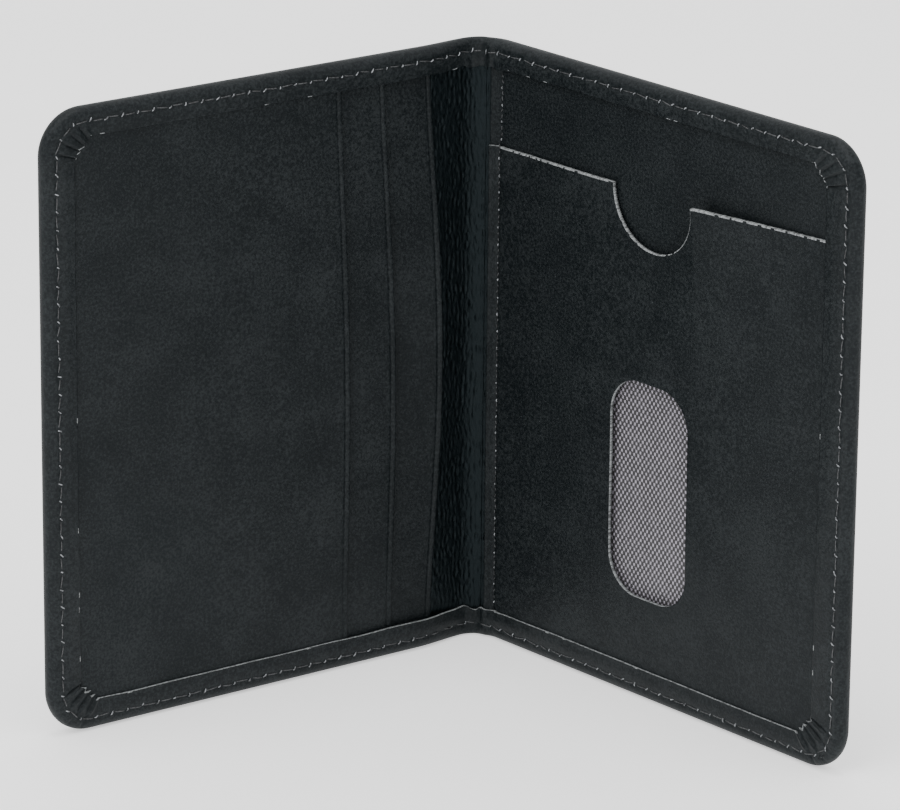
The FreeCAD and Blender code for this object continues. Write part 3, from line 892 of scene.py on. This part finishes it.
class WALLET_OT_id_pocket(bpy.types.Operator):
    """ID pocket of the right leaf: its front with notch and window, the band and the cloth."""

    bl_idname = "wallet.id_pocket"
    bl_label = "ID pocket"

    def execute(self, context):
        self.front()
        self.margin()
        self.band()
        obj = cloth_sheet("id_window_nylon", 1, 0.7, 76.0, 1.6, 61.0, 1.30, "grey_nylon", 91)
        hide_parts("id_pocket_lining")
        return {"FINISHED"}

    def front(self):
        """Pocket front, from blocks of quads whose borders coincide: below, beside and above a
        square field round the window, whose border is walked inwards to the window's edge."""
        per_side = 64
        d0, d1, z0, z1 = WINDOW_FIELD
        span_d, span_z = np.linspace(d0, d1, per_side + 1), np.linspace(z0, z1, per_side + 1)
        left, right = graded((ID_SEAM, 4.0, 10), (4.0, d0, 54)), np.linspace(d1, LEAF - INSET, 76)
        below = np.linspace(1.0, z0, 16)
        blocks = [(*np.meshgrid(span_d, below, indexing="ij"), False)]
        for part in (left, right):
            blocks.append((*np.meshgrid(part, below, indexing="ij"), False))
            blocks.append((*np.meshgrid(part, span_z, indexing="ij"), False))
        win_d, win_z = window_ring(per_side)
        box_d = np.concatenate([span_d[:-1], np.full(per_side, d1),
                                span_d[:0:-1], np.full(per_side, d0)])
        box_z = np.concatenate([np.full(per_side, z0), span_z[:-1],
                                np.full(per_side, z1), span_z[:0:-1]])
        share = graded((0.0, 0.97, 9), (0.97, 1.0, 1))[:, None]
        ring_d = box_d + (win_d - box_d) * share
        ring_z = box_z + (win_z - box_z) * share
        blocks.append((np.column_stack([ring_d, ring_d[:, 0]]).T,
                       np.column_stack([ring_z, ring_z[:, 0]]).T, False))
        tops = ((left, (left, id_lip(left))), (span_d, notch_columns(d0, d1, per_side)),
                (right, (right, id_lip(right))))
        rise = graded((0.0, 0.99, 40), (0.99, 1.0, 1))
        for low_d, (top_d, top_z) in tops:
            blocks.append((low_d[:, None] + (top_d - low_d)[:, None] * rise,
                           z1 + (top_z - z1)[:, None] * rise, True))
        obj = self.sheet("id_pocket_leather", blocks)
        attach(obj, "right_leaf")
        anchor = fold_points(30.0, ID_FLAT, HEIGHT / 2.0)
        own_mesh(obj)
        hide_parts("id_pocket_panel")

    def margin(self):
        """The front's spine-side margin, from its raw edge past the seam; it bends with the fold."""
        d = np.linspace(ID_EDGE, ID_SEAM, 12)
        rise = np.linspace(0.0, 1.0, 120)
        block = (np.repeat(d[:, None], len(rise), axis=1), 1.0 + (id_lip(d) - 1.0)[:, None] * rise,
                 False)
        across_fold(self.sheet("id_pocket_margin", [block]), 1)

    @staticmethod
    def sheet(name, blocks):
        """Leather from blocks (d grid, z grid, whether the last column runs along a cut edge) at
        the height of the pocket's face. Such a column is scuffed here and there, and looks cut."""
        flat, faces, kinds, start = [], [], [], 0
        for dd, zz, cut in blocks:
            dd, zz = keep_inside(dd, zz, INSET)
            index = start + np.arange(dd.size).reshape(dd.shape)
            p, q, r = (np.array([dd[k], zz[k]]) for k in ((0, 0), (1, 0), (1, 1)))
            turn = (q[0] - p[0]) * (r[1] - q[1]) - (q[1] - p[1]) * (r[0] - q[0])
            faces.append(grid_faces(index) if turn > 0 else grid_faces(index)[:, ::-1])
            flat.append(np.stack([dd, id_level(dd, zz), zz], axis=-1).reshape(-1, 3))
            start += dd.size
            kind = np.zeros((dd.shape[0] - 1, dd.shape[1] - 1), int)
            if cut:
                kind[:, -1] = hash_wave(dd[1:, -1], zz[1:, -1], 77, 7, 2.0) > -0.3
            kinds.append(kind.ravel())
        obj = build(name, np.concatenate(flat), np.concatenate(faces).tolist(),
                    [finish("pocket_leather"), finish("cut_edge")], np.concatenate(kinds))
        weld(obj)
        thicken(obj, ID_LEATHER, rim=1)
        return obj

    def band(self):
        """Leather band behind the lip, seen above it and through the notch."""
        d = graded((ID_EDGE, 4.0, 18), (4.0, LEAF - INSET, 60))
        z = np.linspace(BAND_FOOT, HEIGHT - 1.0, 50)
        dd, zz = keep_inside(*np.meshgrid(d, z, indexing="ij"), INSET)
        level = (BAND_TOP + 0.04 * hash_wave(dd, zz, 81, 5, 20.0)
                 - 0.10 * np.exp(-((dd - ID_SEAM) / 0.6) ** 2))
        top = np.stack([dd, level, zz], axis=-1)
        low = np.stack([dd, np.full(dd.shape, BAND_UNDER), zz], axis=-1)
        obj = closed_sheet("id_band_leather", top, low,
                           [finish("pocket_leather"), finish("cut_edge")], rim_material=1)
        across_fold(obj, 1)
        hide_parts("id_top_band")


def weld(obj):
    """Merges the borders that blocks of one surface share, and keeps its faces looking inwards."""
    work = bmesh.new()
    work.from_mesh(obj.data)
    bmesh.ops.remove_doubles(work, verts=work.verts, dist=2e-6)
    bmesh.ops.dissolve_degenerate(work, edges=work.edges, dist=1e-7)
    work.to_mesh(obj.data)
    work.free()
    inward = Vector((0.0, -1.0, 0.0))
    if sum(p.normal.dot(inward) * p.area for p in obj.data.polygons) < 0.0:
        obj.data.flip_normals()
    obj.data.update()


def cloth_sheet(name, side, d0, d1, z0, z1, level, material, seed):
    """A thin woven sheet laid on a leaf, with a slight waviness."""
    dd, zz = np.meshgrid(np.linspace(d0, d1, 60), np.linspace(z0, z1, 60), indexing="ij")
    dd, zz = keep_inside(dd, zz, 1.6)
    height = level + 0.015 * hash_wave(dd, zz, seed, 5, 15.0)
    top = np.stack([dd, height, zz], axis=-1)
    low = np.stack([dd, height - 0.09, zz], axis=-1)
    obj = closed_sheet(name, to_flat(side, top), to_flat(side, low), [finish(material)])
    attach(obj, leaf_side(side)[0])
    return obj


# ---- hidden layers ------------------------------------------------------------------------------
class WALLET_OT_hidden_layers(bpy.types.Operator):
    """Nylon bodies and backing of the card pockets, the boards and the seams that close them."""

    bl_idname = "wallet.hidden_layers"
    bl_label = "Hidden layers"

    def execute(self, context):
        layers = (("left_backing_nylon", 8.3, 76.0, 1.19, "left_backing_fabric", 93),
                  ("rear_pocket_nylon", 23.8, 65.5, 1.34, "rear_pocket_fabric", 95),
                  ("middle_pocket_nylon", 32.6, 70.0, 1.79, "middle_pocket_fabric", 97))
        for name, d0, d1, level, node, seed in layers:
            obj = cloth_sheet(name, -1, d0, d1, 1.6, HEIGHT - 1.6, level, "pocket_nylon", seed)
            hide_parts(node)
        for node, material in (("left_board", "board"), ("right_board", "board"),
                               ("rear_pocket_seam", "thread"), ("middle_pocket_seam", "thread")):
            made = frame["nodes"][node]
            made.data.materials.clear()
            made.data.materials.append(finish(material))
        return {"FINISHED"}


# ---- stitches -----------------------------------------------------------------------------------
def bars(spots, tangents, heights, length, radius, arch, way):
    """Short bars of thread, as rings of points along a shallow arch that ends in the leather.

    Along a bar t runs from -1 to 1. Its height is arch times (1 - t squared) less a small sink,
    and its radius shrinks at the ends. way is +1 on the inner face and -1 on the outer one.
    Returns the points, the quads round the bars and the caps at their ends.
    """
    rings, around = 7, 7
    t = np.linspace(-1.0, 1.0, rings)[None, :, None]
    turn = np.linspace(0.0, 2.0 * math.pi, around, endpoint=False)[None, None, :]
    slim = radius * (1.0 - 0.35 * t ** 4)
    along = 0.5 * np.asarray(length).reshape(-1, 1, 1) * t
    side = slim * np.cos(turn)
    rise = arch * (1.0 - t ** 2) - 0.35 * arch + slim * np.sin(turn)
    d, z = spots[:, 0][:, None, None], spots[:, 1][:, None, None]
    td, tz = tangents[:, 0][:, None, None], tangents[:, 1][:, None, None]
    flat = np.stack(np.broadcast_arrays(d + along * td - side * tz,
                                        heights[:, None, None] + way * rise,
                                        z + along * tz + side * td), axis=-1)
    count = len(spots)
    index = np.arange(count * rings * around).reshape(count, rings, around)
    index = np.concatenate([index, index[:, :, :1]], axis=2)
    a, b = index[:, :-1, :-1], index[:, 1:, :-1]
    c, e = index[:, 1:, 1:], index[:, :-1, 1:]
    quads = np.stack([a, b, c, e], axis=-1).reshape(-1, 4)
    caps = np.concatenate([index[:, 0, :-1], index[:, -1, -2::-1]])
    return flat.reshape(-1, 3), quads, caps


def join(first, second):
    """Points, quads and end caps of two sets of bars, as one."""
    start = len(first[0])
    return [np.concatenate([a, b + shift])
            for a, b, shift in zip(first, second, (0, start, start))]


def seam_spots(side):
    """Needle holes of a leaf's perimeter seam: place, direction and the edge's thickness there.

    The seam follows the outline at its inset: straight, a quarter circle, straight, and so on,
    measured by its own length from the spine's middle.
    """
    sz = sizes()
    radius = sz.corner - sz.stitch_inset
    run, rise = LEAF - sz.corner - MID, HEIGHT - 2.0 * sz.corner
    quarter = math.pi / 2.0 * radius
    total = 2.0 * (run + quarter) + rise
    count = int(round(total / sz.stitch_pitch))
    s = (np.arange(count) + 0.5) * total / count
    marks = np.cumsum([0.0, run, quarter, rise, quarter, run])
    part = np.clip(np.searchsorted(marks, s) - 1, 0, 4)
    local = s - marks[part]
    first = local / radius
    angle = np.choose(part, [0.0 * s, first, 0.0 * s + math.pi / 2.0, math.pi / 2.0 + first,
                             0.0 * s + math.pi])
    out_d, out_z = np.sin(angle), -np.cos(angle)
    across, low, inset = LEAF - sz.corner, sz.corner, sz.stitch_inset
    d = np.choose(part, [MID + local, across + radius * out_d, 0.0 * s + LEAF - inset,
                         across + radius * out_d, across - local])
    z = np.choose(part, [0.0 * s + inset, low + radius * out_z, low + local,
                         HEIGHT - low + radius * out_z, 0.0 * s + HEIGHT - inset])
    tangents = np.stack([np.cos(angle), np.sin(angle)], axis=-1)
    return np.stack([d, z], axis=-1), tangents, thickness_at(d, side), total / count


def slanted(tangents, angle):
    """Directions turned by an angle in the leaf's plane."""
    x, z = turned(tangents[:, 0], tangents[:, 1], angle)
    return np.stack([x, z], axis=-1)


class WALLET_OT_stitches(bpy.types.Operator):
    """Perimeter lockstitch on both faces of the cover, and the seam down the ID panels."""

    bl_idname = "wallet.stitches"
    bl_label = "Stitches"

    def execute(self, context):
        rng = np.random.default_rng(12)
        for side, label in ((1, "right"), (-1, "left")):
            spots, tangents, deep, pitch = seam_spots(side)
            count = len(spots)
            wobble = rng.normal(0.0, 0.05, (count, 2))
            runs = bars(spots + wobble, slanted(tangents, rng.normal(-0.06 * side, 0.10, count)),
                        deep - 0.12, rng.uniform(0.60, 0.86, count) * pitch, 0.10, 0.10, 1.0)
            holes = spots + tangents * pitch / 2.0 + rng.normal(0.0, 0.06, (count, 2))
            lean = math.radians(52.0) * side + rng.normal(0.0, 0.25, count)
            ticks = bars(holes, slanted(tangents, lean), deep - 0.07,
                         rng.uniform(0.45, 0.95, count), 0.10, 0.18, 1.0)
            obj = self.piece(label + "_hem_stitches", side, runs, ticks)
            across_fold(obj, side)
            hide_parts(label + "_hem_seam", *(["spine_hem_seam"] if side > 0 else []))
            outer = bars(spots, tangents, np.full(count, 0.02), np.full(count, pitch * 0.84),
                         0.15, 0.10, -1.0)
            obj = self.piece(label + "_cover_stitches", side, outer)
            across_fold(obj, side)
            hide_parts(label + "_cover_seam", *(["spine_cover_seam"] if side > 0 else []))
        self.id_seam(rng)
        return {"FINISHED"}

    @staticmethod
    def piece(name, side, runs, ticks=None):
        """Thread of a seam: the runs in a darker copy of the thread's colour, which is painted shade, and the
        ticks at its holes in a lighter copy, which is painted glints.
        """
        points, quads, caps = runs if ticks is None else join(runs, ticks)
        kinds = [np.arange(len(quads)) >= len(runs[1]), np.arange(len(caps)) >= len(runs[2])]
        obj = build(name, to_flat(side, points), quads.tolist() + caps.tolist(),
                    [finish("thread"), finish("thread_tick")], np.concatenate(kinds))
        tidy_shell(obj)
        return obj

    def id_seam(self, rng):
        """Stitches inside the raw spine-side edge of the ID panels, over the front and the band:
        a short run between the holes and a tick at every hole, both sunk in the leather."""
        pitch = sizes().stitch_pitch
        z = np.arange(sizes().hem_bottom + 1.4, HEIGHT - sizes().hem_top - 0.6, pitch / 3.0)
        z = z + rng.normal(0.0, 0.08, len(z))
        spots = np.stack([ID_SEAM + rng.normal(0.0, 0.06, len(z)), z], axis=-1)
        level = np.where(z < sizes().lip - 0.6, id_level(spots[:, 0], z), 1.60) - 0.04
        way = slanted(np.tile([[0.0, 1.0]], (len(z), 1)), rng.normal(0.0, 0.3, len(z)))
        size = rng.uniform(0.28, 0.62, len(z))
        odd = np.arange(len(z)) % 3 > 0
        runs = bars(spots[odd], way[odd], level[odd], size[odd] * 1.3, 0.10, 0.10, 1.0)
        ticks = bars(spots[~odd], way[~odd], level[~odd], size[~odd], 0.13, 0.18, 1.0)
        obj = self.piece("id_edge_stitches", 1, runs, ticks)
        across_fold(obj, 1)
        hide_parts("id_edge_seam")


# ---- stage --------------------------------------------------------------------------------------
# the camera's direction in degrees, its roll in radians, its lens in millimetres and its place
VIEW_AZIMUTH = 48.386
VIEW_ELEVATION = 18.279
ROLL = 0.0097
LENS = 229.23
CAMERA_PLACE = (0.58865, -0.52222, 0.31424)


class WALLET_OT_stage(bpy.types.Operator):
    """Pale floor, soft studio light and the camera."""

    bl_idname = "wallet.stage"
    bl_label = "Stage"

    def execute(self, context):
        self.floor()
        self.lights()
        self.camera()
        return {"FINISHED"}

    @staticmethod
    def floor():
        """One sheet: level under the wallet, curving up far behind it as a quarter circle."""
        u = np.linspace(-1.5, 1.5, 25)
        v = np.linspace(-1.0, 1.0, 41)
        uu, vv = np.meshgrid(u, v, indexing="ij")
        bend = np.clip((vv - 0.3) / 0.7, 0.0, 1.0) * math.pi / 2.0
        y = np.where(vv < 0.3, vv * 3.0, 0.9 + 0.6 * np.sin(bend))
        z = np.where(vv < 0.3, 0.0, 0.6 * (1.0 - np.cos(bend)) + np.clip(vv - 0.97, 0.0, 1.0) * 40.0)
        x = uu
        view = math.radians(VIEW_AZIMUTH)
        xr, yr = turned(x, y, view)
        mesh = bpy.data.meshes.new("floor")
        index = np.arange(uu.size).reshape(uu.shape)
        mesh.from_pydata(np.stack([xr, yr, z], axis=-1).reshape(-1, 3).tolist(), [],
                         grid_faces(index).tolist())
        mesh.polygons.foreach_set("use_smooth", np.ones(len(mesh.polygons), bool))
        made = Material("floor_paper", (0.82, 0.82, 0.82), 0.9, Emission_Color=(1.0, 1.0, 1.0, 1.0),
                        Emission_Strength=0.7)
        speck = made.noise(made.node("ShaderNodeTexCoord", {}, {}, "Object"), 40.0, 2.0)
        made.feed("Base Color", made.colour_mix(speck, (0.80, 0.80, 0.80), (0.84, 0.84, 0.84)))
        mesh.materials.append(made.data)
        obj = bpy.data.objects.new("floor", mesh)
        bpy.context.scene.collection.objects.link(obj)

    @staticmethod
    def lights():
        """Large soft sources round the wallet, placed by azimuth and elevation from the camera."""
        world = bpy.data.worlds.new("studio")
        bpy.context.scene.world = world
        world.use_nodes = True
        world.node_tree.nodes["Background"].inputs["Color"].default_value = (1.0, 1.0, 1.0, 1.0)
        world.node_tree.nodes["Background"].inputs["Strength"].default_value = 1.15
        for name, azimuth, elevation, far, size, watts in (
                ("key", -40.0, 50.0, 0.9, 0.5, 3.0),
                ("fill", 60.0, 30.0, 1.0, 0.8, 0.4),
                ("top", 0.0, 88.0, 0.9, 0.5, 4.0)):
            light = bpy.data.lights.new(name, "AREA")
            light.shape = "DISK"
            light.size = size
            light.energy = watts
            obj = bpy.data.objects.new(name, light)
            a = math.radians(VIEW_AZIMUTH + azimuth)
            e = math.radians(elevation)
            way = Vector((math.sin(a) * math.cos(e), -math.cos(a) * math.cos(e), math.sin(e)))
            obj.location = Vector((0.0, 0.0, 0.05)) + way * far
            obj.rotation_mode = "QUATERNION"
            obj.rotation_quaternion = (-way).to_track_quat("-Z", "Y")
            bpy.context.scene.collection.objects.link(obj)

    @staticmethod
    def camera():
        """The camera, which looks back along its azimuth and elevation."""
        data = bpy.data.cameras.new("camera")
        data.sensor_width = 36.0
        data.lens = LENS
        data.clip_start, data.clip_end = 0.05, 20.0
        obj = bpy.data.objects.new("camera", data)
        a, e = math.radians(VIEW_AZIMUTH), math.radians(VIEW_ELEVATION)
        back = Vector((math.sin(a) * math.cos(e), -math.cos(a) * math.cos(e), math.sin(e)))
        obj.location = Vector(CAMERA_PLACE)
        obj.rotation_mode = "QUATERNION"
        obj.rotation_quaternion = (-back).to_track_quat("-Z", "Y") @ Quaternion((0.0, 0.0, 1.0), ROLL)
        bpy.context.scene.collection.objects.link(obj)
        bpy.context.scene.camera = obj


# ---- the add-on ---------------------------------------------------------------------------------
OPERATORS = (WALLET_OT_cover, WALLET_OT_lining, WALLET_OT_card_pockets, WALLET_OT_id_pocket,
             WALLET_OT_hidden_layers, WALLET_OT_stitches, WALLET_OT_stage)


class WALLET_PT_panel(bpy.types.Panel):
    """Sizes, colours and the pieces of the wallet."""

    bl_label = "Wallet"
    bl_idname = "WALLET_PT_panel"
    bl_space_type = "VIEW_3D"
    bl_region_type = "UI"
    bl_category = "Wallet"

    def draw(self, context):
        layout = self.layout
        for group in (context.scene.wallet_sizes, context.scene.wallet_colours):
            for name in group.__annotations__:
                layout.prop(group, name)
        for operator in OPERATORS:
            layout.operator(operator.bl_idname)


CLASSES = (WalletSizes, WalletColours, *OPERATORS, WALLET_PT_panel)


def register():
    for item in CLASSES:
        bpy.utils.register_class(item)
    bpy.types.Scene.wallet_sizes = PointerProperty(type=WalletSizes)
    bpy.types.Scene.wallet_colours = PointerProperty(type=WalletColours)


def unregister():
    del bpy.types.Scene.wallet_colours
    del bpy.types.Scene.wallet_sizes
    for item in reversed(CLASSES):
        bpy.utils.unregister_class(item)


def main():
    register()
    for operator in OPERATORS:
        group, name = operator.bl_idname.split(".")
        getattr(getattr(bpy.ops, group), name)()


if __name__ == "__main__":
    main()
